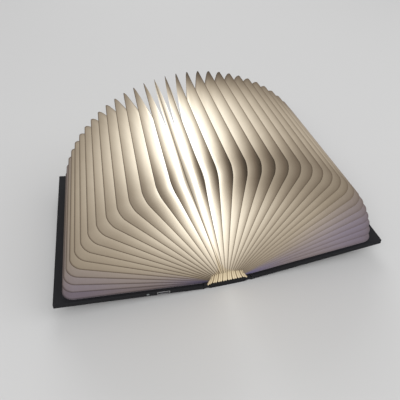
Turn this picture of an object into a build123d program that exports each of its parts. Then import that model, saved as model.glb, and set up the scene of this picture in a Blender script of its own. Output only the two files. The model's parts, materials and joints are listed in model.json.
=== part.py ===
"""Folding book lamp: a small hardback cover that opens into a fan of pleated paper,
lit from the spine.

Frame: origin on the table under the middle of the spine, +Z up, +Y along the spine,
+X towards the right-hand cover. Millimetres.
The lamp is drawn open, with each cover raised a little from the table.
"""
from build123d import *
import os
from math import atan2, cos, degrees, hypot, pi, radians, sin, tan

os.makedirs("parts", exist_ok=True)

# ---------------------------------------------------------------- sizes
# covers
cover_height = 118.0        # along the spine
cover_reach = 88.0          # from the gutter to the fore edge
board_t = 2.8
cloth_t = 0.4
glue_gap = 0.02             # board in its cloth
turn_in = 12.0              # cloth folded over onto the inside
cover_corner_r = 1.5
raise_deg = 7.0             # each cover at rest, above the table

# spine and gutters
last_root_to_hinge = 1.9
gutter = 4.9                # spine edge to cover edge
gutter_edge = 2.3           # hinge line to cover edge
strip_gap = 0.05
spine_turn_in = 1.4

# paper
n_side = 17                 # leaves each side of the middle one
page_border = 2.0           # cover beyond the pages, head and foot
fore_border = 1.4           # cover beyond the pages when closed
page_corner_r = 6.5
pleat_depth = 29.0
valley_corner_r = 2.0
paper_t = 0.18
end_sheet_t = 0.2
sheet_gap = 0.05            # end sheet to cover
fold_gap = 0.06             # to the halfway plane between two leaves
root_pitch = 0.65
root_reach = 7.0            # where the free paper begins
arc_steps = 4

# root blocks
block_gap = 0.5             # below the leaves' inner ends
block_side_gap = 0.2        # to the spine's edge
block_end_gap = 0.7         # to the light tray

# light
tray_length = 59.0
tray_side_gap = 0.7         # to the spine's edge
tray_wall = 1.0
tray_floor = 1.0
tray_height = 3.7
led_board_end_gap = 0.3     # to the screw heads
led_board_t = 1.0
led_board_gap = 0.2
led_length = 3.0
led_width = 2.8
led_t = 0.8
led_pitch = 6.0
diffuser_rise = 3.0
diffuser_t = 1.0
lip_depth = 0.9
lip_t = 0.8
lip_gap = 0.1
screw_d = 1.6
screw_head_d = 3.0
screw_head_t = 1.0
screw_gap = 0.1
screw_x = 4.0
screw_from_end = 2.7
screw_bite = 2.2            # into the spine board

# battery and charging, in the left cover
battery_u, battery_v = 46.0, 5.0
battery_length = 46.0
battery_width = 34.0
battery_t = 2.2
pocket_gap = 0.1
port_u = 27.0               # hinge line to the port's centre
port_width = 7.6
port_t = 2.4
port_depth = 5.6
port_wall = 0.35
port_tongue_t = 0.6
pcb_width = 14.0
pcb_length = 17.0
pcb_t = 0.8
chip_size = 3.4
chip_t = 0.9
light_u = 36.5
light_d = 1.6
light_length = 4.0
reed_from_fore_edge, reed_v = 7.3, 0.0
reed_length = 10.0
reed_d = 2.0

# magnets
magnet_d = 8.0
magnet_t = 2.0
magnet_from_fore_edge = 12.3
magnet_from_head = 14.0
trigger_d = 4.0

# flat lead from the charging board to the light board
lead_width = 5.0
lead_t = 0.2
lead_u = 22.0
lead_from_board_end = 0.5
lead_gap = 0.05

# ---------------------------------------------------------------- derived
cover_t = board_t + 2 * cloth_t
spine_t = board_t + cloth_t
hinge_x = (n_side + 1) * root_pitch + last_root_to_hinge
hinge_z = cover_t / 2
spine_width = 2 * (hinge_x - gutter + gutter_edge)
open_deg = 90 - raise_deg                       # from upright to the resting cover
fan_deg = open_deg / (n_side + 1)               # leaf to leaf
wedge = tan(radians(fan_deg / 2))
cover_far = gutter_edge + cover_reach           # hinge line to fore edge
board_v = cover_height / 2 - cloth_t - glue_gap
board_far = cover_far - cloth_t - glue_gap
ce, se = cos(radians(raise_deg)), sin(radians(raise_deg))
sheet_n = cover_t / 2 + sheet_gap               # underside of the end sheet
# the roots stand where the last leaf's own plane runs along the top of the end sheet
root_z = hinge_z + (sheet_n + end_sheet_t - last_root_to_hinge * se) / ce
page_height = cover_height - 2 * page_border
page_reach = hinge_z + cover_far - fore_border - root_z

tray_width = spine_width - 2 * tray_side_gap
led_board_length = tray_length - 2 * (screw_from_end + screw_head_d / 2 + led_board_end_gap)
n_leds = int((led_board_length - led_length - 2) / led_pitch) + 1
magnet_u, magnet_v = cover_far - magnet_from_fore_edge, cover_height / 2 - magnet_from_head
reed_u = cover_far - reed_from_fore_edge
lead_v = -(led_board_length / 2 - lead_width / 2 - lead_from_board_end)
# right-hand cover's own plane: x away from the hinge, z to the inside
cover_plane = Plane(origin=(hinge_x, 0, hinge_z), x_dir=(ce, 0, se), z_dir=(-se, 0, ce))


def cover_level(n):
    """The cover's own plane, n above the board's middle."""
    return cover_plane.offset(n)


def finish(piece, name, left=False):
    """Label and write one piece."""
    body = mirror(piece.part, about=Plane.YZ) if left else piece.part
    body.label = name
    export_step(body, f"parts/{name}.step")


# ---------------------------------------------------------------- spine
with BuildPart() as spine_board:
    with BuildSketch(Plane.XY.offset(cloth_t)):
        Rectangle(spine_width, 2 * board_v)
    extrude(amount=board_t)
    with Locations(Plane.XY.offset(spine_t)):
        with GridLocations(2 * screw_x, tray_length - 2 * screw_from_end, 2, 2):
            Hole(screw_d / 2 + screw_gap / 2, depth=screw_bite + 0.2)
finish(spine_board, "spine_board")

with BuildPart() as spine_wrap:
    with BuildSketch():
        Rectangle(spine_width, cover_height)
    extrude(amount=spine_t + cloth_t)
    with BuildSketch(Plane.XY.offset(cloth_t)):
        Rectangle(spine_width, 2 * board_v + 2 * glue_gap)
    extrude(amount=board_t, mode=Mode.SUBTRACT)
    with BuildSketch(Plane.XY.offset(spine_t)):
        Rectangle(spine_width, cover_height - 2 * spine_turn_in)
    extrude(amount=cloth_t, mode=Mode.SUBTRACT)
finish(spine_wrap, "spine_wrap")

# ---------------------------------------------------------------- covers
for left in (True, False):
    side = "left" if left else "right"
    with BuildPart() as board:
        with BuildSketch(cover_level(-board_t / 2)):
            with Locations(((gutter_edge + board_far) / 2, 0)):
                Rectangle(board_far - gutter_edge, 2 * board_v)
        extrude(amount=board_t)
        # magnets near the fore edge
        with BuildSketch(cover_level(board_t / 2)):
            with Locations((magnet_u, magnet_v), (magnet_u, -magnet_v)):
                Circle(magnet_d / 2 + pocket_gap)
            if not left:
                with Locations((reed_u, reed_v)):
                    Circle(trigger_d / 2 + pocket_gap)
        extrude(amount=-(magnet_t + pocket_gap), mode=Mode.SUBTRACT)
        if left:
            with BuildSketch(cover_level(board_t / 2)):
                with Locations((battery_u, battery_v)):
                    Rectangle(battery_width + 2 * pocket_gap, battery_length + 2 * pocket_gap)
                with Locations((reed_u, reed_v)):
                    Rectangle(reed_d + 2 * pocket_gap, reed_length + 2 * pocket_gap)
            extrude(amount=-(battery_t + pocket_gap), mode=Mode.SUBTRACT)
            with BuildSketch(cover_level(board_t / 2)):
                with Locations((port_u, -board_v + (port_depth + pocket_gap) / 2)):
                    Rectangle(port_width + 2 * pocket_gap, port_depth + pocket_gap)
                with Locations((port_u, -board_v + port_depth + (pcb_length + pocket_gap) / 2)):
                    Rectangle(pcb_width + 2 * pocket_gap, pcb_length + 3 * pocket_gap)
                with Locations((light_u, -board_v + (light_length + pocket_gap) / 2)):
                    Rectangle(light_d + 2 * pocket_gap, light_length + pocket_gap)
            extrude(amount=-(board_t / 2 + port_t / 2 + 0.05), mode=Mode.SUBTRACT)
    finish(board, f"{side}_board", left)

    with BuildPart() as wrap:
        with BuildSketch(cover_level(-cover_t / 2)) as outline:
            with Locations(((gutter_edge + cover_far) / 2, 0)):
                Rectangle(cover_reach, cover_height)
            fillet(outline.vertices().group_by(Axis.X)[-1], cover_corner_r)
        extrude(amount=cover_t)
        with BuildSketch(cover_level(-board_t / 2 - glue_gap)):
            with Locations(((gutter_edge + board_far + glue_gap) / 2, 0)):
                Rectangle(board_far + glue_gap - gutter_edge, 2 * board_v + 2 * glue_gap)
        extrude(amount=board_t + 2 * glue_gap, mode=Mode.SUBTRACT)
        with BuildSketch(cover_level(board_t / 2)):
            with Locations(((gutter_edge + cover_far - turn_in) / 2, 0)):
                Rectangle(cover_far - turn_in - gutter_edge, cover_height - 2 * turn_in)
        extrude(amount=2 * cloth_t, mode=Mode.SUBTRACT)
        if left:
            with BuildSketch(cover_level(-port_t / 2 - pocket_gap)):
                with Locations((port_u, -cover_height / 2)):
                    Rectangle(port_width + 2 * pocket_gap, 3 * cloth_t)
            extrude(amount=port_t + 2 * pocket_gap, mode=Mode.SUBTRACT)
            with BuildSketch(cover_level(-light_d / 2 - pocket_gap)):
                with Locations((light_u, -cover_height / 2)):
                    Rectangle(light_d + 2 * pocket_gap, 3 * cloth_t)
            extrude(amount=light_d + 2 * pocket_gap, mode=Mode.SUBTRACT)
    finish(wrap, f"{side}_wrap", left)

    with BuildPart() as magnets:
        with BuildSketch(cover_level(board_t / 2 - magnet_t - pocket_gap / 2)):
            with Locations((magnet_u, magnet_v), (magnet_u, -magnet_v)):
                Circle(magnet_d / 2)
            if not left:
                with Locations((reed_u, reed_v)):
                    Circle(trigger_d / 2)
        extrude(amount=magnet_t)
    finish(magnets, f"{side}_magnets", left)

    # cloth across the gutter: spine edge, up to the hinge line, down to the cover
    inner_x = spine_width / 2 + strip_gap
    low = cover_plane.from_local_coords((gutter_edge - strip_gap, 0, -cover_t / 2))
    high = cover_plane.from_local_coords((gutter_edge - strip_gap, 0, -cover_t / 2 + cloth_t))
    with BuildPart() as strip:
        with BuildSketch(Plane.XZ.offset(-cover_height / 2)):
            with BuildLine():
                Polyline(
                    (inner_x, 0), (inner_x + 0.8, 0.1), (hinge_x, hinge_z - 0.7),
                    (low.X - 0.8, low.Z + 0.05), (low.X, low.Z),
                    (high.X, high.Z), (high.X - 0.7, high.Z + 0.1),
                    (hinge_x, hinge_z - 0.7 + cloth_t),
                    (inner_x + 0.7, cloth_t + 0.1), (inner_x, cloth_t), close=True,
                )
            make_face()
        extrude(amount=cover_height)
    finish(strip, f"{side}_hinge_strip", left)

# ---------------------------------------------------------------- battery and charging
with BuildPart() as battery:
    with BuildSketch(cover_level(board_t / 2 - battery_t)) as cell:
        with Locations((battery_u, battery_v)):
            Rectangle(battery_width, battery_length)
        fillet(cell.vertices(), 1.0)
    extrude(amount=battery_t - pocket_gap / 2)
    fillet(battery.edges().filter_by(Axis.Y), 0.4)
finish(battery, "battery", left=True)

port_near = -cover_height / 2
with BuildPart() as charging_port:
    with BuildSketch(cover_level(-port_t / 2)):
        with Locations((port_u, port_near + port_depth / 2)):
            Rectangle(port_width, port_depth)
    extrude(amount=port_t)
    fillet(charging_port.edges().filter_by(Axis.Y), 0.6)
    with BuildSketch(cover_level(-port_t / 2 + port_wall)):
        with Locations((port_u, port_near + (port_depth - 1.0) / 2)):
            Rectangle(port_width - 2 * port_wall, port_depth - 1.0)
    extrude(amount=port_t - 2 * port_wall, mode=Mode.SUBTRACT)
    with BuildSketch(cover_level(-port_tongue_t / 2)):
        with Locations((port_u, port_near + port_depth / 2 + 0.3)):
            Rectangle(port_width - 2.4, port_depth - 0.6)
    extrude(amount=port_tongue_t)
finish(charging_port, "charging_port", left=True)

pcb_near = port_near + port_depth + 0.45
pcb_low = -port_t / 2
with BuildPart() as charge_board:
    with BuildSketch(cover_level(pcb_low)):
        with Locations((port_u, pcb_near + pcb_length / 2)):
            Rectangle(pcb_width, pcb_length)
    extrude(amount=pcb_t)
    with BuildSketch(cover_level(pcb_low + pcb_t)):
        with Locations((port_u - 2.5, pcb_near + 5.0)):
            Rectangle(chip_size, chip_size)
        with Locations((port_u + 3.5, pcb_near + 9.0)):
            Rectangle(chip_size, 2.4)
        with Locations((port_u - 3.0, pcb_near + 12.5)):
            Rectangle(2.0, 1.25)
    extrude(amount=chip_t)
finish(charge_board, "charge_board", left=True)

with BuildPart() as charge_light:
    with BuildSketch(Plane(cover_plane.from_local_coords((light_u, port_near, 0)),
                           x_dir=(ce, 0, se), z_dir=(0, 1, 0))):
        Circle(light_d / 2)
    extrude(amount=light_length)
finish(charge_light, "charge_light", left=True)

with BuildPart() as reed_switch:
    with BuildSketch(cover_level(board_t / 2 - reed_d - pocket_gap / 2)):
        with Locations((reed_u, reed_v)):
            Rectangle(reed_d, reed_length)
    extrude(amount=reed_d)
    fillet(reed_switch.edges().filter_by(Axis.Y), reed_d * 0.3)
finish(reed_switch, "reed_switch", left=True)

# ---------------------------------------------------------------- light
tray_z = spine_t
floor_z = tray_z + tray_floor
led_z = floor_z + led_board_t
rim_z = tray_z + tray_height
led_board_width = tray_width - 2 * tray_wall - 2 * led_board_gap

with BuildPart() as led_tray:
    with BuildSketch(Plane.XY.offset(tray_z)) as foot:
        Rectangle(tray_width, tray_length)
        fillet(foot.vertices(), 1.5)
    extrude(amount=tray_height)
    with BuildSketch(Plane.XY.offset(floor_z)):
        Rectangle(tray_width - 2 * tray_wall, tray_length - 2 * tray_wall)
    extrude(amount=tray_height, mode=Mode.SUBTRACT)
    with Locations(Plane.XY.offset(floor_z)):
        with GridLocations(2 * screw_x, tray_length - 2 * screw_from_end, 2, 2):
            Hole(screw_d / 2 + screw_gap, depth=tray_floor)
    # way in for the flat lead
    with BuildSketch(Plane.XY.offset(floor_z)):
        with Locations((-tray_width / 2, lead_v)):
            Rectangle(4 * tray_wall, lead_width + 1.0)
    extrude(amount=lead_t + 0.5, mode=Mode.SUBTRACT)
finish(led_tray, "led_tray")

with BuildPart() as led_board:
    with BuildSketch(Plane.XY.offset(floor_z)):
        Rectangle(led_board_width, led_board_length)
    extrude(amount=led_board_t)
finish(led_board, "led_board")

with BuildPart() as led_chips:
    with BuildSketch(Plane.XY.offset(led_z)):
        with GridLocations(1, led_pitch, 1, n_leds):
            Rectangle(led_width, led_length)
    extrude(amount=led_t)
finish(led_chips, "led_chips")

half_w = tray_width / 2
lip_x = half_w - tray_wall - lip_gap
with BuildPart() as led_diffuser:
    with BuildSketch(Plane.XZ.offset(-tray_length / 2)):
        with BuildLine():
            ThreePointArc((half_w, rim_z + 0.6), (0, rim_z + diffuser_rise), (-half_w, rim_z + 0.6))
            Polyline((-half_w, rim_z + 0.6), (-half_w, rim_z), (-lip_x, rim_z),
                     (-lip_x, rim_z - lip_depth), (-lip_x + lip_t, rim_z - lip_depth),
                     (-lip_x + lip_t, rim_z + 0.3))
            ThreePointArc((-lip_x + lip_t, rim_z + 0.3), (0, rim_z + diffuser_rise - diffuser_t),
                          (lip_x - lip_t, rim_z + 0.3))
            Polyline((lip_x - lip_t, rim_z + 0.3), (lip_x - lip_t, rim_z - lip_depth),
                     (lip_x, rim_z - lip_depth), (lip_x, rim_z), (half_w, rim_z),
                     (half_w, rim_z + 0.6))
        make_face()
    extrude(amount=tray_length)
    # the lip stops short of the tray's end walls
    for end in (-1, 1):
        with BuildSketch(Plane.XY.offset(rim_z - lip_depth)):
            with Locations((0, end * tray_length / 2)):
                Rectangle(tray_width, 2 * (tray_wall + lip_gap))
        extrude(amount=lip_depth, mode=Mode.SUBTRACT)
finish(led_diffuser, "led_diffuser")

with BuildPart() as tray_screws:
    with BuildSketch(Plane.XY.offset(floor_z)):
        with GridLocations(2 * screw_x, tray_length - 2 * screw_from_end, 2, 2):
            Circle(screw_head_d / 2)
    extrude(amount=screw_head_t)
    with BuildSketch(Plane.XY.offset(floor_z)):
        with GridLocations(2 * screw_x, tray_length - 2 * screw_from_end, 2, 2):
            Circle(screw_d / 2)
    extrude(amount=-(tray_floor + screw_bite))
    fillet(tray_screws.edges().filter_by(GeomType.CIRCLE).group_by(Axis.Z)[-1], 0.3)
    with BuildSketch(Plane.XY.offset(floor_z + screw_head_t)):
        with GridLocations(2 * screw_x, tray_length - 2 * screw_from_end, 2, 2):
            Rectangle(1.5, 0.35)
            Rectangle(0.35, 1.5)
    extrude(amount=-0.5, mode=Mode.SUBTRACT)
finish(tray_screws, "tray_screws")

# flat lead: on the left board, across the gutter, into the tray
edge = cover_plane.from_local_coords((gutter_edge, 0, board_t / 2 + lead_gap))
lead_end = pcb_near + pcb_length - 2.0
with BuildPart() as power_lead:
    with BuildSketch(cover_level(board_t / 2 + lead_gap)):
        with Locations(((gutter_edge + lead_u) / 2, lead_v)):
            Rectangle(lead_u - gutter_edge, lead_width)
        with Locations((lead_u - lead_width / 2, (lead_v + lead_end) / 2)):
            Rectangle(lead_width, abs(lead_v - lead_end))
    extrude(amount=lead_t)
    with BuildSketch(Plane.XZ.offset(-lead_v - lead_width / 2)):
        with BuildLine():
            Polyline((edge.X + 0.3, edge.Z + 0.02), (edge.X + 0.3, edge.Z + lead_t + 0.02),
                     (hinge_x, hinge_z + 1.8), (spine_width / 2, spine_t + 0.3 + lead_t),
                     (half_w + 0.5, floor_z + 0.1 + lead_t), (led_board_width / 2 + 0.1, floor_z + 0.1 + lead_t),
                     (led_board_width / 2 + 0.1, floor_z + 0.1), (half_w + 0.5, floor_z + 0.1),
                     (spine_width / 2, spine_t + 0.3), (hinge_x, hinge_z + 1.8 - lead_t), close=True)
        make_face()
    extrude(amount=lead_width)
finish(power_lead, "power_lead", left=True)

# ---------------------------------------------------------------- root blocks
block_half = spine_width / 2 - block_side_gap
block_top = root_z + root_reach - block_gap
block_shoulder = root_z + (root_reach - block_gap) * 0.72
block_near = tray_length / 2 + block_end_gap
for name, end in (("head_root_block", 1), ("foot_root_block", -1)):
    with BuildPart() as block:
        with BuildSketch(Plane.XZ.offset(-page_height / 2 if end > 0 else block_near)):
            with BuildLine():
                Polyline((-block_half, block_shoulder), (-block_half, spine_t),
                         (block_half, spine_t), (block_half, block_shoulder))
                ThreePointArc((block_half, block_shoulder), (0, block_top), (-block_half, block_shoulder))
            make_face()
        extrude(amount=page_height / 2 - block_near)
    finish(block, name)


# ---------------------------------------------------------------- paper
def outline_stations():
    """Pairs of points (reach, y): the fold's ridge and its valley, round the open C."""
    h = page_height / 2
    ridge = [(root_reach, -h)]
    valley = [(root_reach, -h + pleat_depth)]
    for step in range(arc_steps + 1):
        a = pi / 2 * step / arc_steps
        ridge.append((page_reach - page_corner_r + page_corner_r * sin(a),
                      -h + page_corner_r - page_corner_r * cos(a)))
        valley.append((page_reach - pleat_depth - valley_corner_r + valley_corner_r * sin(a),
                       -h + pleat_depth + valley_corner_r - valley_corner_r * cos(a)))
    near = list(zip(ridge, valley))
    return near + [((r0, -y0), (r1, -y1)) for (r0, y0), (r1, y1) in reversed(near)]


def half_gap(reach, psi, outward):
    """From a leaf's own plane to the halfway plane of its neighbour."""
    step_r = root_pitch * sin(psi) * (1 if outward else -1)
    c = cos(radians(fan_deg))
    return wedge * (reach - step_r) + root_pitch * cos(psi) * c / (1 + c) - fold_gap


def leaf_plane(index):
    """Root point, direction along the leaf and outward normal of the right-hand leaf."""
    psi = radians(fan_deg * index)
    root = Vector(root_pitch * index, 0, root_z)
    return psi, root, Vector(sin(psi), 0, cos(psi)), Vector(cos(psi), 0, -sin(psi))


def leaf_sections(index):
    """One closed chevron per station: (plane, points)."""
    psi, root, along, outward = leaf_plane(index)
    for (rr, ry), (vr, vy) in outline_stations():
        ridge = root + along * rr + Vector(0, ry, 0)
        valley = root + along * vr + Vector(0, vy, 0)
        x_dir = (valley - ridge).normalized()
        depth = (valley - ridge).length
        out, inn = half_gap(vr, psi, True), half_gap(vr, psi, False)
        t = min(paper_t, 0.45 * min(out, inn))
        apex = 2 * t * depth / (out + inn) * 0.9
        plane = Plane(ridge, x_dir=x_dir, z_dir=x_dir.cross(outward))
        yield plane, [(0, t / 2), (depth, out), (depth, out - t), (apex, 0),
                      (depth, -inn + t), (depth, -inn), (0, -t / 2)]


for index in range(n_side + 1):
    with BuildPart() as leaf:
        for plane, points in leaf_sections(index):
            with BuildSketch(plane):
                with BuildLine():
                    Polyline(*points, close=True)
                make_face()
        loft(ruled=True)
    if index == 0:
        finish(leaf, f"leaf_{n_side + 1:02d}")
    else:
        finish(leaf, f"leaf_{n_side + 1 + index:02d}")
        finish(leaf, f"leaf_{n_side + 1 - index:02d}", left=True)

# end leaves: a sheet on the cover with one raised arm to the last valley
end_psi, end_root, end_along, end_out = leaf_plane(n_side + 1)
with BuildPart() as end_leaf:
    start = cover_plane.to_local_coords(end_root).X
    with BuildSketch(cover_level(sheet_n)) as sheet:
        with Locations((start + (root_reach + page_reach) / 2, 0)):
            Rectangle(page_reach - root_reach, page_height)
        fillet(sheet.vertices().group_by(Axis.X)[-1], page_corner_r)
    extrude(amount=end_sheet_t)
    sheet_top = cover_plane.to_local_coords(end_root).Z - (sheet_n + end_sheet_t)
    sheet_mid = sheet_top + end_sheet_t / 2       # below the leaf's own plane
    for (rr, ry), (vr, vy) in outline_stations():
        inset = 0.15
        toward = Vector(vr - rr, vy - ry, 0).normalized()
        ridge = end_root + end_along * (rr + toward.X * inset) + Vector(0, ry + toward.Y * inset, 0)
        valley = end_root + end_along * vr + Vector(0, vy, 0)
        x_dir = (valley - ridge).normalized()
        depth = (valley - ridge).length
        inn = half_gap(vr, end_psi, False)
        with BuildSketch(Plane(ridge, x_dir=x_dir, z_dir=x_dir.cross(end_out))):
            with BuildLine():
                Polyline((0, sheet_mid), (depth, -inn + paper_t), (depth, -inn), (0, sheet_mid - paper_t),
                         close=True)
            make_face()
    loft(ruled=True)
finish(end_leaf, "right_end_leaf")
finish(end_leaf, "left_end_leaf", left=True)

print(f"fan step {fan_deg:.3f} deg, hinge at x {hinge_x:.2f} z {hinge_z:.2f}, closed thickness "
      f"{2 * (hinge_x + cover_t / 2):.1f}")
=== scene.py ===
# %% [markdown]
# # A folding book lamp
#
# The real object is a small hardback cover. Opened flat, it spreads a fan of pleated white paper,
# lit from a light bar on the spine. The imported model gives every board, strip and leaf its place.
# This lesson gives them the surfaces that the eye sees: glowing folded paper, dark book cloth,
# and the small parts inside. The first cell loads that model, and every new piece is made in the
# same place, in metres.

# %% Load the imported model
import json
from math import cos, degrees, exp, pi, radians, sin, sqrt, tan, tanh

import bmesh
import bpy
from mathutils import Matrix, Vector


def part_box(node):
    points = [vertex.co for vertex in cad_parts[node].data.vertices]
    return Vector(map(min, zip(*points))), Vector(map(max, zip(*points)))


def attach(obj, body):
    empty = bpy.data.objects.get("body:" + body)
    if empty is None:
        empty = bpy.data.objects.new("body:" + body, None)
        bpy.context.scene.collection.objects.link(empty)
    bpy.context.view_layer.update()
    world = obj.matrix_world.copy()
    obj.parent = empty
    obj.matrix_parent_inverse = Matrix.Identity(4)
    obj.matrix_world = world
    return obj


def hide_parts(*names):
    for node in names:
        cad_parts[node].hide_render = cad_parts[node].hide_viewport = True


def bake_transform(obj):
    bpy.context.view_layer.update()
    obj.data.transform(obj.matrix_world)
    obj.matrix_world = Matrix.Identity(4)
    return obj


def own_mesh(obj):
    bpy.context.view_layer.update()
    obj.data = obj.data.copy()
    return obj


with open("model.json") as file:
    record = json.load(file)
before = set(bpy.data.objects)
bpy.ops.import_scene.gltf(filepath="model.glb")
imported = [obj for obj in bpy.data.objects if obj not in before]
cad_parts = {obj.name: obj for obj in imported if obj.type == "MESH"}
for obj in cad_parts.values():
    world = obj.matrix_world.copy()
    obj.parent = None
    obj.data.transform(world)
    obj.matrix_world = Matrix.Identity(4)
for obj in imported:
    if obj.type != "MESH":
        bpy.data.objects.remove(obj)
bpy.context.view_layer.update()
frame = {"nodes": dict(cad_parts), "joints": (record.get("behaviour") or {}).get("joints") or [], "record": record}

MM = 0.001

# %% [markdown]
# ## Sizes that the paper shares
#
# A leaf turns about a root line on the spine. Its root's place, the step from leaf to leaf and the
# hinge lines can all be read from the model's joints, so nothing here is measured twice.

# %% The fan's own numbers
joints = {j["name"]: j for j in frame["joints"]}
LEAVES = 17                                             # each side of the middle leaf
STEP = radians(joints["left_cover_hinge"]["range_deg"][1] / (LEAVES + 1))
PITCH = joints["right_leaf_01_root"]["pos_m"][0]
ROOT_Z = joints["right_leaf_01_root"]["pos_m"][2]
HINGE_X, _, HINGE_Z = joints["right_cover_hinge"]["pos_m"]
RAISE = radians(90) - STEP * (LEAVES + 1)
_, middle_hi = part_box("leaf_18")
REACH = middle_hi[2] - ROOT_Z
HALF = middle_hi[1]
DEPTH = 29 * MM
RIDGE_R, VALLEY_R = 6.5 * MM, 2 * MM
PAPER = 0.12 * MM
BEND_FROM, BEND_TO = 0.62, 0.84                         # a corner's bend: 0 is the root, 1 mid fore edge
VALLEY_FLARE = 1.9 * MM                                 # keeps a valley's end clear of the light bar
BAR_HALF = 10.2 * MM                                    # half the light bar's width, with room
LIP = 1.1 * MM                                          # a fold stays shut this far from its ridge
END_INNER = 3.0 * MM                                    # an end leaf starts this far from its root
print(f"leaf reach {REACH * 1000:.1f} mm, page {HALF * 2000:.0f} mm tall,",
      f"step {degrees(STEP):.2f} degrees")

# %% [markdown]
# ## Small helpers for meshes
#
# Every mesh here starts from an operator, such as a grid or a cube, and is then bent or cut. One
# helper turns a finished bmesh into an object with smooth or flat shading.

# %% A bmesh becomes an object
def to_object(bm, name, smooth=True, outward=False):
    if outward:
        bmesh.ops.recalc_face_normals(bm, faces=bm.faces)
    mesh = bpy.data.meshes.new(name)
    bm.to_mesh(mesh)
    bm.free()
    mesh.polygons.foreach_set("use_smooth", [smooth] * len(mesh.polygons))
    piece = bpy.data.objects.new(name, mesh)
    bpy.context.scene.collection.objects.link(piece)
    return piece


def soft_block(size, centre, edge, segments=3):
    """A block with rounded edges, for boards wrapped in cloth and moulded parts."""
    bm = bmesh.new()
    bmesh.ops.create_cube(bm, size=1)
    bmesh.ops.scale(bm, vec=size, verts=bm.verts)
    bmesh.ops.bevel(bm, geom=bm.edges[:], offset=edge, offset_type="OFFSET", segments=segments,
                    profile=0.5, affect="EDGES", material=-1)
    bmesh.ops.translate(bm, vec=centre, verts=bm.verts)
    return bm


# %% [markdown]
# ## Shader maths as plain sums
#
# A material is easier to read when its maths looks like maths. The small class below wraps one
# socket, so that `a * b + 1` adds Math nodes, and `make` adds any other node.

# %% A socket that can be added and multiplied
class Value:
    def __init__(self, tree, socket):
        self.tree, self.socket = tree, socket

    def _math(self, operation, a, b=None):
        node = self.tree.nodes.new("ShaderNodeMath")
        node.operation = operation
        for slot, item in zip(node.inputs, (a, b)):
            if isinstance(item, Value):
                self.tree.links.new(item.socket, slot)
            elif item is not None:
                slot.default_value = item
        return Value(self.tree, node.outputs[0])

    def __add__(self, other): return self._math("ADD", self, other)
    def __radd__(self, other): return self._math("ADD", other, self)
    def __sub__(self, other): return self._math("SUBTRACT", self, other)
    def __rsub__(self, other): return self._math("SUBTRACT", other, self)
    def __mul__(self, other): return self._math("MULTIPLY", self, other)
    def __rmul__(self, other): return self._math("MULTIPLY", other, self)
    def clamp(self): return self._math("MINIMUM", self._math("MAXIMUM", self, 0.0), 1.0)
    def sine(self): return self._math("SINE", self)


class Finish:
    """A named material with its Principled shader."""

    def __init__(self, name, **plain):
        self.material = bpy.data.materials.new(name)
        self.material.use_nodes = True
        self.tree = self.material.node_tree
        self.shader = self.tree.nodes["Principled BSDF"]
        for key, value in plain.items():
            self.shader.inputs[key.replace("_", " ")].default_value = value

    def make(self, kind, settings=(), output=0, **inputs):
        node = self.tree.nodes.new(kind)
        for key, value in dict(settings).items():
            if key == "stops":
                ramp = node.color_ramp
                while len(ramp.elements) < len(value):
                    ramp.elements.new(1.0)
                for element, (place, colour) in zip(ramp.elements, value):
                    element.position, element.color = place, (*colour, 1.0)
            else:
                setattr(node, key, value)
        for key, value in inputs.items():
            slot = node.inputs[int(key[1:]) if key[1:].isdigit() else key.replace("_", " ")]
            if isinstance(value, Value):
                self.tree.links.new(value.socket, slot)
            else:
                slot.default_value = value
        return Value(self.tree, node.outputs[output])

    def place(self):
        return self.make("ShaderNodeTexCoord", output="Object")

    def noise(self, scale, detail=3.0, rough=0.5, at=None, stretch=None):
        at = at or self.place()
        if stretch:
            at = self.make("ShaderNodeMapping", Vector=at, Scale=stretch)
        return self.make("ShaderNodeTexNoise", Vector=at, Scale=scale, Detail=detail, Roughness=rough)

    def mix(self, blend, factor, a, b):
        return self.make("ShaderNodeMix", {"data_type": "RGBA", "blend_type": blend}, output=2,
                         _0=factor, _6=a, _7=b)

    def feed(self, **links):
        for key, value in links.items():
            self.tree.links.new(value.socket, self.shader.inputs[key.replace("_", " ")])

    def bump(self, height, strength=0.3, distance=0.0001):
        normal = self.make("ShaderNodeBump", Height=height, Strength=strength, Distance=distance)
        self.feed(Normal=normal)

    def on(self, *pieces):
        for piece in pieces:
            piece.data.materials.clear()
            piece.data.materials.append(self.material)


# %% [markdown]
# ## Glowing paper
#
# On the real lamp the light comes through the paper from inside. A fold is two layers thick at its
# ridge and stands furthest from the light, so it is dim and brownish there, and it is brightest
# deep between two leaves. Real translucency would need a bright lamp inside and a dark room. Here
# each vertex carries how much light reaches it and how far it takes the room's bluish light. One
# ramp turns the first into painted light and shade, which goes both into the paper's base colour
# and into the light that it gives.

# %% Paper that is lit from behind
PAINTED_BASE_SHARE, GIVEN = 0.50, 0.78                               # shares of the ramp's colour: lit, and glowing


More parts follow.
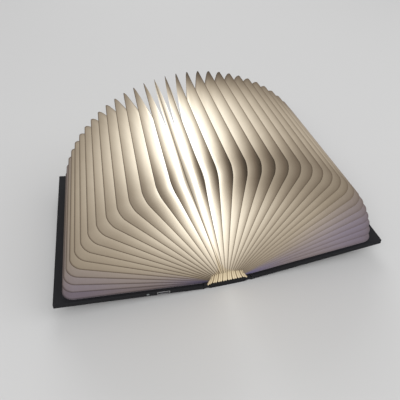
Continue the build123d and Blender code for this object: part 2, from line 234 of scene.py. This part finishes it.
def glowing_paper(name, wash=(1.0, 1.0, 1.0)):
    paper = Finish(name, Roughness=0.85, Specular_IOR_Level=0.2, Emission_Strength=1.0)
    light = paper.make("ShaderNodeAttribute", {"attribute_name": "light"}, output="Fac")
    cool = paper.make("ShaderNodeAttribute", {"attribute_name": "cool"}, output="Fac")
    cloud = paper.noise(90.0, 2.0)
    fibre = paper.noise(1600.0, 2.0, stretch=(1.0, 0.25, 1.0))
    level = (light * ((cloud - 0.5) * 0.10 + 1.0) + (fibre - 0.5) * 0.02).clamp()
    shade = paper.make("ShaderNodeValToRGB", {"stops": [
        (0.03, (0.039, 0.029, 0.019)),
        (0.12, (0.148, 0.115, 0.082)),
        (0.28, (0.325, 0.274, 0.209)),
        (0.45, (0.503, 0.444, 0.357)),
        (0.68, (0.737, 0.676, 0.570)),
        (0.88, (0.920, 0.880, 0.785)),
        (1.00, (1.000, 0.985, 0.930))]}, Fac=level)
    tinted = paper.mix("MULTIPLY", cool, shade, (0.78, 0.94, 3.0, 1))
    # painted light and shade: the base colour is darkened and tinted by the same painted light as the glow
    painted_light_base = paper.mix("MULTIPLY", 1.0, tinted, (*[PAINTED_BASE_SHARE * c for c in wash], 1))
    given = paper.mix("MULTIPLY", 1.0, tinted, (*[GIVEN * c for c in wash], 1))
    paper.feed(Base_Color=painted_light_base, Emission_Color=given)
    paper.bump(fibre, 0.15, 0.00005)
    return paper


leaf_paper = glowing_paper("leaf_paper")
glued_paper = glowing_paper("glued_paper", wash=(1.02, 0.95, 0.78))

# %% [markdown]
# ## One pleated leaf
#
# A leaf is one folded sheet. Its ridge runs along the foot, round a corner, up the fore edge, round
# the other corner and back along the head, and the two arms run inwards to valleys that it shares
# with its neighbours. It could be lofted from cross sections, but a grid is simpler: one direction
# of the grid goes across the fold and the other along it, and each vertex is then moved to its
# place on the fold.

# %% The path of ridge and valley
def along_fold(v):
    """Ridge and valley as (reach, y), how far along from a root, and how far from the corner's middle."""
    side = -1 if v <= 0.5 else 1
    w = 1 - abs(2 * v - 1)                      # 0 at a root, 1 at the middle of the fore edge
    bend = RIDGE_R * pi / 4
    if w < BEND_FROM:
        t = w / BEND_FROM
        ridge = (t * (REACH - RIDGE_R), HALF)
        valley = (t * (REACH - DEPTH - VALLEY_R), HALF - DEPTH + VALLEY_FLARE * (1 - t) ** 2)
        from_corner = (1 - t) * (REACH - RIDGE_R) + bend
    elif w < BEND_TO:
        a = (w - BEND_FROM) / (BEND_TO - BEND_FROM) * pi / 2
        ridge = (REACH - RIDGE_R + RIDGE_R * sin(a), HALF - RIDGE_R + RIDGE_R * cos(a))
        valley = (REACH - DEPTH - VALLEY_R + VALLEY_R * sin(a),
                  HALF - DEPTH - VALLEY_R + VALLEY_R * cos(a))
        from_corner = abs(a / (pi / 4) - 1) * bend
    else:
        t = (w - BEND_TO) / (1 - BEND_TO)
        ridge = (REACH, (HALF - RIDGE_R) * (1 - t))
        valley = (REACH - DEPTH, (HALF - DEPTH - VALLEY_R) * (1 - t))
        from_corner = t * (HALF - RIDGE_R) + bend
    return (ridge[0], side * ridge[1]), (valley[0], side * valley[1]), from_corner, w


def half_gap(reach, psi, upper):
    """From a leaf's own plane to halfway to its neighbour on the +X or -X side."""
    shift = PITCH * sin(psi) * (1 if upper else -1)
    c = cos(STEP)
    return tan(STEP / 2) * (reach - shift) + PITCH * cos(psi) * c / (1 + c) - 0.05 * MM


def cool_at(number, w):
    """How far a page takes the bluish light of the room: the outer ones do, towards their corners."""
    outer = min(1.0, max(0.0, (number - 10.5) / 5 if number > 0 else (-number - 14) / 4))
    at_root = min(1.0, max(0.0, (abs(number) - 13) / 3)) * exp(-w / 0.13)
    return 0.3 * outer * exp(-((w - 0.66) / 0.34) ** 2) + 0.75 * at_root


def light_at(number, fold_mm, reach, from_corner, w, at_head):
    """How much light comes through: most deep in the middle folds, least on a ridge at a corner."""
    corner = exp(-(from_corner / (26 * MM)) ** 2) * (0.9 if at_head else 1.0)
    corner *= 1 - 0.65 * exp(-((number + 3) / 0.6) ** 2)    # the leaf where the fan parts stays bright
    spread = 9.5 if number < -3 else 11.0               # leaves over which the glow falls to half
    glow = 1 / (1 + ((number + 3) / spread) ** 2) * (1 - 0.12 * max(0, -number - 14))
    even = min(1.0, max(0.0, (-number - 5) / 8))        # the left pages are lit more evenly
    dip = corner * 0.9 / (1 + ((number - 1) / (8.0 if number < 0 else 6.5)) ** 2)
    ridge = min(glow, 0.5 / (1 + (number / 14) ** 2)) * (1 - dip)
    ridge += 0.2 * even * (glow - ridge)
    deep = min(1.0, fold_mm / 22.5) ** ((0.8 if number < -1 else 0.55) + 1.1 * corner)
    next_ridge = (reach * STEP + PITCH) / MM            # what its neighbour leaves in view of an arm
    shade = 0.62 + 0.20 * even + (0.50 - 0.20 * even) * min(1.0, fold_mm / next_ridge)
    soft = min(1.0, max(0.0, (number - 7) / 5))         # the outer right pages blur into each other
    # painted shadow: a thin dark line along each ridge, where the fold meets the shade between two leaves
    ridge_shadow_depth = (0.58 - 0.22 * tanh(number / 3)) * (1 - 0.5 * soft)
    line = 1 - ridge_shadow_depth * exp(-(fold_mm / (0.5 if number < 0 else 0.6)) ** 2)
    fore_edge = 0.68 if w > (BEND_FROM + BEND_TO) / 2 else 0.2
    gain = 1 + fore_edge * soft * (1 - exp(-(from_corner / (14 * MM)) ** 2))
    at_root = 1 - 0.32 * exp(-w / 0.12)
    return (ridge + (glow - ridge) * deep) * shade * line * gain * at_root


# how far each column of the grid lies from the ridge, in mm; the last is the valley
COLUMNS = [0.0, 0.45, 1.1, 2.6, 5.0, 8.5, 13.0, 20.0, None]
ROWS = 56


def leaf_plane(number):
    """A leaf's angle, the middle of its root line, and the directions outwards and across it."""
    psi = STEP * number
    root = Vector((PITCH * number, 0, ROOT_Z))
    return psi, root, Vector((sin(psi), 0, cos(psi))), Vector((cos(psi), 0, -sin(psi)))


def across_fold(v, column, inner):
    """Where a grid point lies on a fold that starts at inner, and what its light depends on."""
    ridge, valley, from_corner, w = along_fold(v)
    ridge, valley = [(inner + a * (1 - inner / REACH), y) for a, y in (ridge, valley)]
    depth = sqrt((valley[0] - ridge[0]) ** 2 + (valley[1] - ridge[1]) ** 2)
    step = COLUMNS[abs(column)]
    fold = 1.0 if step is None else step * MM / depth
    reach = ridge[0] + (valley[0] - ridge[0]) * fold
    y = ridge[1] + (valley[1] - ridge[1]) * fold
    return reach, y, fold, depth, ridge[0], valley[0], from_corner, w


def leaf_mesh(number, arms=(-1, 1)):
    """number is 0 for the middle leaf, minus to the left. arms picks the sides of the fold."""
    psi, root, out, normal = leaf_plane(number)
    inner = 6.4 * MM                                    # the middle leaves start above the light bar
    if number:
        inner = min(inner, max(1.6 * MM, (BAR_HALF - PITCH * abs(number)) / sin(abs(psi))))
    many = len(COLUMNS) - 1
    bm = bmesh.new()
    bmesh.ops.create_grid(bm, x_segments=many * len(arms), y_segments=ROWS, size=0.5)
    light = bm.verts.layers.float.new("light")
    cool = bm.verts.layers.float.new("cool")
    for vert in bm.verts:
        column = round((vert.co.x + 0.5) * many * len(arms)) - (many if len(arms) == 2 else 0)
        if len(arms) == 1:
            column = column * arms[0] if arms[0] > 0 else column - many
        reach, y, fold, depth, ridge_reach, valley_reach, from_corner, w = across_fold(
            vert.co.y + 0.5, column, inner)
        lip = LIP / depth
        opening = max(0.0, fold - lip) / (1 - lip)
        opening += (0.08 + 0.20 * exp(-(from_corner / (18 * MM)) ** 2)) * sin(pi * opening ** 0.75)
        gap = half_gap(valley_reach, psi, column > 0)
        flat = min(0.10 * MM, gap * 0.5) if column else 0.0
        rise = flat + (gap - flat) * opening
        vert.co = root + out * reach + normal * (rise * (1 if column > 0 else -1)) + Vector((0, y, 0))
        vert[light] = light_at(number, fold * depth / MM, ridge_reach, from_corner, w, y > 0)
        vert[cool] = cool_at(number, w)
    return bm, root, normal


def thicken(piece, thickness=PAPER):
    wall = piece.modifiers.new("paper thickness", "SOLIDIFY")
    wall.thickness, wall.offset = thickness, 0.0
    return piece


# %% [markdown]
# Each leaf turns with its own root, so it rides on its body. The middle leaf stands still on the
# spine, and it is made as two halves, one for each arm of its fold.

# %% All the leaves
leaves = []
for number in range(-LEAVES, LEAVES + 1):
    node = f"leaf_{LEAVES + 1 + number:02d}"
    side = "right" if number > 0 else "left"
    if number:
        bm, root, normal = leaf_mesh(number)
        leaf = thicken(to_object(bm, f"folded_{node}"))
        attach(leaf, f"{side}_leaf_{abs(number):02d}")
        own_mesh(leaf)
        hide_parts(node)
        leaf_paper.on(leaf)
        leaves.append(leaf)
        continue
    for arm, side in ((-1, "left"), (1, "right")):
        bm, root, normal = leaf_mesh(0, arms=(arm,))
        leaf = thicken(to_object(bm, f"folded_{node}_{side}_arm"))
        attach(leaf, "spine")
        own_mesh(leaf)
        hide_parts(node)
        leaf_paper.on(leaf)
        leaves.append(leaf)
print(len(leaves), "leaf pieces,", sum(len(p.data.polygons) for p in leaves), "faces")

# %% [markdown]
# ## Places on the covers
#
# A cover is easiest to think of lying flat: distance from its hinge line, distance along the spine
# and height above the middle of its board. This matrix takes such a place to the raised cover.

# %% From a flat cover to the raised one
def cover_matrix(side):
    right = Matrix(((cos(RAISE), 0, -sin(RAISE), HINGE_X), (0, 1, 0, 0),
                    (sin(RAISE), 0, cos(RAISE), HINGE_Z), (0, 0, 0, 1)))
    return right if side == "right" else Matrix.Scale(-1, 4, (1, 0, 0)) @ right


def lay_on_cover(bm, side, name, smooth=True):
    bmesh.ops.transform(bm, matrix=cover_matrix(side), verts=bm.verts)
    return to_object(bm, name, smooth, outward=True)


BOARD_HALF = 1.8 * MM                                   # half a cover's thickness, cloth included
SHEET_LEVEL = BOARD_HALF + 0.12 * MM                    # the pasted sheet, above the middle of the board
_, wrap_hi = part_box("right_wrap")
COVER_HALF = wrap_hi[1]
EDGE_U, FAR_U = 2.3 * MM, 90.3 * MM                     # a cover's two edges, from the hinge line
SPINE_EDGE = HINGE_X - 2.6 * MM
PORT_U, LIGHT_U = 27.0 * MM, 36.5 * MM                  # port and charge light, from the hinge line

# %% [markdown]
# ## End leaves
#
# The last sheet of the fan is pasted to the cover, and one arm rises from its edge to the last
# valley. Sheet and arm are one piece of paper. The sheet lies in the shade of the fan and picks up
# the room's cooler light.

# %% The pasted sheet and its raised arm
def end_leaf(side):
    sign = 1 if side == "right" else -1
    number = sign * (LEAVES + 1)
    psi, root, out, normal = leaf_plane(number)
    many = len(COLUMNS) - 1
    bm = bmesh.new()
    bmesh.ops.create_grid(bm, x_segments=many, y_segments=ROWS, size=0.5)
    light = bm.verts.layers.float.new("light")
    cool = bm.verts.layers.float.new("cool")
    for vert in bm.verts:
        column = round((vert.co.x + 0.5) * many)
        reach, y, fold, depth, ridge_reach, valley_reach, from_corner, w = across_fold(
            vert.co.y + 0.5, column, END_INNER)
        gap = half_gap(valley_reach, psi, sign < 0)
        rise = 0.02 * MM + (gap - 0.02 * MM) * max(0.0, fold + 0.06 * sin(pi * fold))
        vert.co = root + out * reach - normal * (sign * rise) + Vector((0, y, 0))
        vert[light] = light_at(number, fold * depth / MM, ridge_reach, from_corner, w, y > 0)
        vert[cool] = cool_at(number, w)
    # the pasted sheet, with its two outer corners rounded as the leaves' are
    sheet = bmesh.new()
    start = (PITCH * (LEAVES + 1) - HINGE_X) * cos(RAISE) + (ROOT_Z - HINGE_Z) * sin(RAISE)
    bmesh.ops.create_grid(sheet, x_segments=1, y_segments=1, size=1.0)
    low, high = EDGE_U + 0.3 * MM, start + REACH
    bmesh.ops.scale(sheet, vec=((high - low) / 2, HALF, 1), verts=sheet.verts)
    bmesh.ops.translate(sheet, vec=((high + low) / 2, 0, SHEET_LEVEL), verts=sheet.verts)
    corners = [v for v in sheet.verts if v.co.x > low + 1e-5]
    bmesh.ops.bevel(sheet, geom=corners, offset=RIDGE_R, segments=8, profile=0.5, affect="VERTICES",
                    material=-1)
    bmesh.ops.transform(sheet, matrix=cover_matrix(side), verts=sheet.verts)
    pasted = bpy.data.meshes.new("pasted sheet")
    sheet.to_mesh(pasted)
    sheet.free()
    before = set(bm.verts)
    bm.from_mesh(pasted)
    for vert in bm.verts:
        if vert not in before:
            vert[light], vert[cool] = 0.20, 0.25
    bpy.data.meshes.remove(pasted)
    piece = thicken(to_object(bm, f"pasted_{side}_end_leaf"))
    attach(piece, f"{side}_cover")
    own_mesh(piece)
    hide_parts(f"{side}_end_leaf")
    leaf_paper.on(piece)


for side in ("left", "right"):
    end_leaf(side)

# %% [markdown]
# ## The bundled roots
#
# At each end of the spine the folds are gathered and glued, and their ends show as a row of upright
# ribs that spread a little at the foot. Their paper is tinted warmer and more yellow than the leaves'.
# A grid stands up as the end face, its columns are pushed in between the ribs, and the face is then
# drawn back along the spine.

# %% A row of ribs at each end
def root_bundle(end):
    ribs, per_rib, rows = 16, 8, 12
    node = "head_root_block" if end > 0 else "foot_root_block"
    lo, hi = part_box(node)
    bm = bmesh.new()
    bmesh.ops.create_grid(bm, x_segments=ribs * per_rib, y_segments=rows, size=0.5)
    light = bm.verts.layers.float.new("light")
    for vert in bm.verts:
        u, w = vert.co.x * 2, vert.co.y + 0.5          # -1 to 1 across, 0 to 1 upwards
        rib = ribs * (u + 1) / 2
        groove = abs(cos(pi * rib)) ** 2.5 * (1.0 if round(rib) % 2 == 0 else 0.45)
        bottom = lo[2] - 0.8 * MM * max(0.0, (abs(u) - 0.85) / 0.15)
        top = hi[2] + (0.1 - 1.7 * u ** 2 - 1.4 * u ** 8) * MM
        z = bottom + (top - bottom) * w
        spread = 0.25 * (hi[2] - z) + 1.2 * MM * (1 - w) ** 2.5
        y = HALF - 0.5 * MM - 0.7 * MM * groove + 2.0 * MM * (1 - w) ** 1.5
        # painted light and shade: the rib ends glow, with painted shade in the grooves between the ribs, darker
        # towards the sides and the top
        vert[light] = (0.66 - 0.50 * groove) * (1 - 0.25 * u * u) * (1 - 0.2 * w)
        vert.co = Vector((u * (hi[0] - 0.5 * MM + spread), end * y, z))
    made = bmesh.ops.extrude_face_region(bm, geom=bm.faces[:] + bm.edges[:] + bm.verts[:])
    for back in (HALF - 1.4 * MM, min(abs(lo[1]), abs(hi[1]))):
        for vert in (g for g in made["geom"] if isinstance(g, bmesh.types.BMVert)):
            vert.co.x = max(lo[0], min(hi[0], vert.co.x))
            vert.co.y = end * back
        if back > HALF - 2 * MM:
            faces = [g for g in made["geom"] if isinstance(g, bmesh.types.BMFace)]
            made = bmesh.ops.extrude_face_region(bm, geom=faces)
            bmesh.ops.delete(bm, geom=faces, context="FACES_ONLY")
    piece = to_object(bm, "ribbed_" + node, outward=True)
    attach(piece, "spine")
    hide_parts(node)
    glued_paper.on(piece)


for end in (1, -1):
    root_bundle(end)

# %% [markdown]
# ## Covers in book cloth
#
# Each cover is a board wrapped in thin dark cloth, so its edges are soft and its corners slightly
# rounded. A cube with bevelled edges gives that. The left cover has two slots in its near edge, for
# the charging port and its light: four planes cut the edge face, and the face between is pushed in.

# %% A wrapped board, with its slots
def slot_in_edge(bm, u0, u1, half_height, depth):
    for place, normal in (((u0, 0, 0), (1, 0, 0)), ((u1, 0, 0), (1, 0, 0)),
                          ((0, 0, half_height), (0, 0, 1)), ((0, 0, -half_height), (0, 0, 1))):
        near = [f for f in bm.faces if f.calc_center_median().y < -COVER_HALF + 0.2 * MM]
        edges, verts = {e for f in near for e in f.edges}, {v for f in near for v in f.verts}
        bmesh.ops.bisect_plane(bm, geom=near + list(edges) + list(verts), plane_co=place,
                               plane_no=normal)
    mouth = [f for f in bm.faces if f.calc_center_median().y < -COVER_HALF + 1e-6
             and u0 < f.calc_center_median().x < u1 and abs(f.calc_center_median().z) < half_height]
    pushed = bmesh.ops.extrude_face_region(bm, geom=mouth)
    bmesh.ops.translate(bm, vec=(0, depth, 0),
                        verts=[g for g in pushed["geom"] if isinstance(g, bmesh.types.BMVert)])
    bmesh.ops.delete(bm, geom=mouth, context="FACES")


def wrapped_cover(side):
    size = (FAR_U - EDGE_U, 2 * COVER_HALF, 2 * BOARD_HALF)
    bm = soft_block(size, ((FAR_U + EDGE_U) / 2, 0, 0), 0.42 * MM)
    if side == "left":
        slot_in_edge(bm, PORT_U - 4.2 * MM, PORT_U + 4.2 * MM, 1.35 * MM, 5.8 * MM)
        slot_in_edge(bm, LIGHT_U - 0.9 * MM, LIGHT_U + 0.9 * MM, 0.9 * MM, 4.2 * MM)
    piece = lay_on_cover(bm, side, f"{side}_cover_cloth", smooth=False)
    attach(piece, f"{side}_cover")
    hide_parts(f"{side}_wrap")
    return piece


cover_cloths = [wrapped_cover("left"), wrapped_cover("right")]

# %% [markdown]
# ## The cloth in the gutters
#
# Between the spine and each cover the cloth is pressed into a groove, and this groove is the hinge.
# A grid bent into that groove and thickened is enough.

# %% Two strips of cloth that bend
def gutter_cloth(side):
    sign = 1 if side == "right" else -1
    matrix = cover_matrix(side)
    start = Vector((sign * SPINE_EDGE, 0, 0.05 * MM))
    end = matrix @ Vector((EDGE_U + 0.05 * MM, 0, -BOARD_HALF + 0.05 * MM))
    bm = bmesh.new()
    bmesh.ops.create_grid(bm, x_segments=14, y_segments=12, size=0.5)
    for vert in bm.verts:
        t, y = vert.co.x + 0.5, vert.co.y * 2 * COVER_HALF
        place = start.lerp(end, t)
        place.z += 0.9 * MM * sin(pi * t) ** 2
        place.y = y
        vert.co = place
    piece = thicken(to_object(bm, f"{side}_gutter_cloth"), 1.7 * MM)
    piece.modifiers[0].offset = sign                    # the turned-in layers lie on the inside
    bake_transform(piece)
    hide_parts(f"{side}_hinge_strip")
    return piece


gutter_cloths = [gutter_cloth("left"), gutter_cloth("right")]

# %% [markdown]
# ## The flat lead
#
# A thin film carries the current from the board in the left cover to the lights in the spine. It
# crosses the left gutter, so it has to bend with the cloth. The model's own film has the right
# shape: a copy of it is welded and cut into short steps across the gutter.

# %% A film cut into steps across the gutter
def flat_lead():
    bm = bmesh.new()
    bm.from_mesh(frame["nodes"]["power_lead"].data)
    bmesh.ops.remove_doubles(bm, verts=bm.verts, dist=1e-6)
    start = Vector((-SPINE_EDGE, 0, 3 * MM))
    end = cover_matrix("left") @ Vector((EDGE_U, 0, BOARD_HALF))
    for k in range(1, 10):
        bmesh.ops.bisect_plane(bm, geom=bm.verts[:] + bm.edges[:] + bm.faces[:],
                               plane_co=start.lerp(end, k / 10), plane_no=end - start)
    piece = to_object(bm, "flat_lead_film", smooth=False)
    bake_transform(piece)
    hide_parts("power_lead")
    return piece


lead = flat_lead()
print("lead film:", len(lead.data.polygons), "faces")

# %% [markdown]
# ## Book cloth
#
# Book cloth is a fine plain weave filled with dark starch, so it is nearly black, with threads just
# visible, and a little paler in broad random patches. Two sets of sine waves across each other make
# the weave, and noise breaks it up.

# %% Dark woven cloth
def book_cloth():
    cloth = Finish("book_cloth", Roughness=0.78, Specular_IOR_Level=0.3)
    split = cloth.place()
    parts = [cloth.make("ShaderNodeSeparateXYZ", output=i, Vector=split) for i in range(3)]
    wobble = cloth.noise(220.0, 2.0) * 1.6
    warp = ((parts[0] + parts[2] * 0.3) * 7800.0 + wobble).sine() * 0.5 + 0.5
    weft = (parts[1] * 7800.0 + wobble).sine() * 0.5 + 0.5
    weave = warp * weft
    slub = cloth.noise(900.0, 2.0, stretch=(1.0, 0.12, 1.0))
    rub = cloth.noise(35.0, 4.0, 0.6)
    tone = (weave * 0.30 + slub * 0.35 + rub * 0.35).clamp()
    colour = cloth.make("ShaderNodeValToRGB", {"stops": [
        (0.15, (0.0035, 0.0035, 0.0045)),
        (0.55, (0.009, 0.009, 0.012)),
        (0.90, (0.024, 0.024, 0.028))]}, Fac=tone)
    cloth.feed(Base_Color=colour, Roughness=rub * 0.25 + 0.62)
    cloth.bump(weave + slub * 0.6, 0.5, 0.00006)
    return cloth


cloth = book_cloth()
cloth.on(*cover_cloths, *gutter_cloths, frame["nodes"]["spine_wrap"])

# %% [markdown]
# ## The charging port's surround
#
# A thin moulded ring frames the port, flush with the cloth. It starts as a block. The flat faces in
# front and behind are inset, the faces left in their middles are taken out, and the two rims are
# bridged, which leaves a hole right through.

# %% The port's ring
def inset_middle(bm, towards):
    """Insets the flat face on the -Y or +Y side and returns the small one left in its middle."""
    flat = [f for f in bm.faces if towards * f.normal.y > 0.99]
    bmesh.ops.inset_region(bm, faces=flat, thickness=0.04 * MM, depth=0)
    return [f for f in bm.faces if towards * f.normal.y > 0.99
            and abs(f.calc_center_median().x - PORT_U) < 2 * MM
            and abs(f.calc_center_median().z) < 0.5 * MM]


def port_ring():
    bm = soft_block((8.4 * MM, 0.5 * MM, 2.7 * MM), (PORT_U, -COVER_HALF + 0.25 * MM, 0), 0.1 * MM, 2)
    middles = inset_middle(bm, -1) + inset_middle(bm, 1)
    edges = [e for f in middles for e in f.edges]
    bmesh.ops.delete(bm, geom=middles, context="FACES_ONLY")
    bmesh.ops.bridge_loops(bm, edges=edges)
    piece = lay_on_cover(bm, "left", "port_ring", smooth=False)
    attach(piece, "left_cover")
    return piece


ring = port_ring()

# %% [markdown]
# ## Finishes for the parts inside
#
# Most of these parts hide in the boards or under the fan, but they show when the lamp is taken
# apart. Each gets the small marks that its real material has: fibres in greyboard,
# brushing in steel, specks in moulded plastic.

# %% Boards, plastics and metals
def speckled(name, colour, rough=0.5, specks=500.0, depth=0.12, metallic=0.0, bump=0.1, emit=None,
             stretch=None):
    finish = Finish(name, Metallic=metallic)
    grain = finish.noise(specks, 3.0, stretch=stretch)
    broad = finish.noise(40.0, 2.0)
    dark = tuple(c * (1 - depth) for c in colour)
    shade = finish.make("ShaderNodeValToRGB", {"stops": [(0.3, dark), (0.7, colour)]},
                        Fac=(grain * 0.6 + broad * 0.4).clamp())
    finish.feed(Base_Color=shade, Roughness=grain * 0.12 + (rough - 0.06))
    if emit:
        finish.feed(Emission_Color=finish.make("ShaderNodeValToRGB", {"stops": [
            (0.3, tuple(c * 0.94 for c in emit)), (0.7, emit)]}, Fac=broad))
        finish.shader.inputs["Emission Strength"].default_value = 1.0
    finish.bump(grain, bump, 0.00005)
    return finish


finishes = {
    "greyboard": speckled("greyboard", (0.30, 0.27, 0.23), 0.85, 700.0, 0.35, bump=0.3),
    "white_plastic": speckled("tray_plastic", (0.78, 0.78, 0.76), 0.4, 900.0, 0.04),
    "opal": speckled("opal_diffuser", (0.6, 0.58, 0.52), 0.35, 300.0, 0.03, emit=(0.75, 0.68, 0.52)),
    "led_resin": speckled("light_chip_resin", (0.85, 0.68, 0.20), 0.35, 1200.0, 0.08,
                          emit=(0.9, 0.7, 0.3)),
    "circuit": speckled("circuit_board_white", (0.72, 0.73, 0.70), 0.45, 800.0, 0.06),
    "magnet": speckled("plated_magnet", (0.62, 0.62, 0.64), 0.22, 900.0, 0.05, 1.0),
    "port_steel": speckled("port_steel", (0.60, 0.60, 0.62), 0.3, 900.0, 0.08, 1.0,
                           stretch=(0.1, 1, 1)),
    "screw_steel": speckled("screw_steel", (0.50, 0.50, 0.52), 0.35, 1500.0, 0.12, 1.0),
    "cell": speckled("cell_foil", (0.55, 0.56, 0.58), 0.35, 120.0, 0.06, 0.8, bump=0.4),
    "film": speckled("lead_film", (0.62, 0.28, 0.06), 0.4, 200.0, 0.10),
    "clear": speckled("light_pipe", (0.20, 0.22, 0.22), 0.2, 200.0, 0.02),
    "black_plastic": speckled("black_moulding", (0.016, 0.016, 0.018), 0.45, 900.0, 0.2),
}
slots = {part["node"]: part["material_slot"] for part in frame["record"]["subparts"]}
for node, piece in frame["nodes"].items():
    if slots.get(node) in finishes:
        finishes[slots[node]].on(piece)
finishes["black_plastic"].on(ring)
finishes["film"].on(lead)

# %% [markdown]
# ## Floor, light and camera
#
# A plain pale floor and soft light show the object as it is. The camera stands where the
# photographer stood: in front, a little to the left and well above, close enough for the near
# pages to look larger than the far ones.

# %% The floor
bm = bmesh.new()
bmesh.ops.create_grid(bm, x_segments=1, y_segments=1, size=3.0)
floor = to_object(bm, "floor", smooth=False)
floor.data.transform(Matrix.Translation((0, 0, -0.0004)))
floor_finish = Finish("pale_floor", Roughness=0.9, Specular_IOR_Level=0.1)
floor_finish.shader.inputs["Base Color"].default_value = (0.62, 0.62, 0.62, 1)
floor_finish.on(floor)

# %% The lights
def soft_lamp(name, place, size, watts, aim=(0, 0, 0.04)):
    data = bpy.data.lights.new(name, "AREA")
    data.shape, data.size, data.energy = "DISK", size, watts
    lamp = bpy.data.objects.new(name, data)
    lamp.location = place
    lamp.rotation_euler = (Vector(aim) - Vector(place)).to_track_quat("-Z", "Y").to_euler()
    bpy.context.scene.collection.objects.link(lamp)
    return lamp


soft_lamp("key", (-0.5, -0.7, 0.9), 0.6, 5.0)
soft_lamp("fill", (0.8, -0.3, 0.7), 0.8, 3.0)
soft_lamp("back", (0.1, 0.9, 0.8), 0.7, 3.0)
world = bpy.data.worlds.new("soft room")
world.use_nodes = True
world.node_tree.nodes["Background"].inputs[0].default_value = (1, 1, 1, 1)
world.node_tree.nodes["Background"].inputs[1].default_value = 0.55
bpy.context.scene.world = world
bpy.context.scene.view_settings.view_transform = "Standard"

# %% The camera
focal, azimuth, elevation, roll = 34.85, radians(-12.59), radians(42.83), radians(-0.83)
target, distance = Vector((0.0003, 0.0190, 0.0023)), 0.2983
back = Vector((sin(azimuth) * cos(elevation), -cos(azimuth) * cos(elevation), sin(elevation)))
right = (-back).cross(Vector((0, 0, 1))).normalized()
up = right.cross(-back)
tilted_right = right * cos(roll) + up * sin(roll)
tilted_up = up * cos(roll) - right * sin(roll)
camera = bpy.data.objects.new("camera", bpy.data.cameras.new("camera"))
camera.matrix_world = Matrix.LocRotScale(
    target + back * distance, Matrix((tilted_right, tilted_up, back)).transposed().to_quaternion(), None)
camera.data.lens, camera.data.sensor_width = focal, 36
camera.data.clip_start, camera.data.clip_end = 0.01, 20
bpy.context.scene.collection.objects.link(camera)
bpy.context.scene.camera = camera
